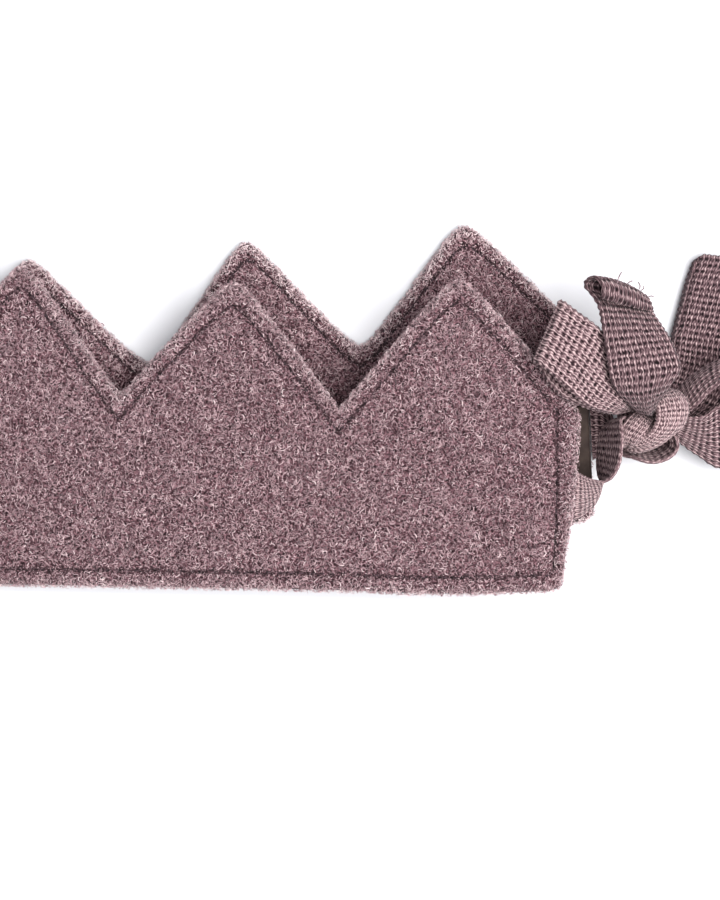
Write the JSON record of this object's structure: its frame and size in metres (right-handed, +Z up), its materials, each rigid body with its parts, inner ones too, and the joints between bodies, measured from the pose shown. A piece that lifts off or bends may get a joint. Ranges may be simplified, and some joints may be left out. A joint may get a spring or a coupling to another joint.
{
  "type": "felt crown",
  "caption": "Child's play crown of double boiled wool with topstitched points, folded flat and tied by a bow of knitted tape.",
  "frame": {"origin": "middle of the part's box, on the table that the crown lies on", "axes": "+Z up from the table, +X along the folded band from the fold to the bow, +Y the way the points point"},
  "size_m": [0.3044, 0.1262, 0.0426],
  "materials": {
    "outer_wool": "matte, curly boiled wool",
    "lining_wool": "matte, curly boiled wool",
    "knit_tape": "matte, ribbed knit",
    "label_satin": "smooth woven satin"
  },
  "bodies": {
    "root": {"outer_felt": "outer_wool", "lining_felt": "lining_wool", "end_label": "label_satin", "tie_upper": "knit_tape", "tie_lower": "knit_tape", "bow_knot": "knit_tape", "bow_loop_left": "knit_tape", "bow_loop_right": "knit_tape", "tail_left": "knit_tape", "tail_right": "knit_tape"}
  },
  "joints": []
}
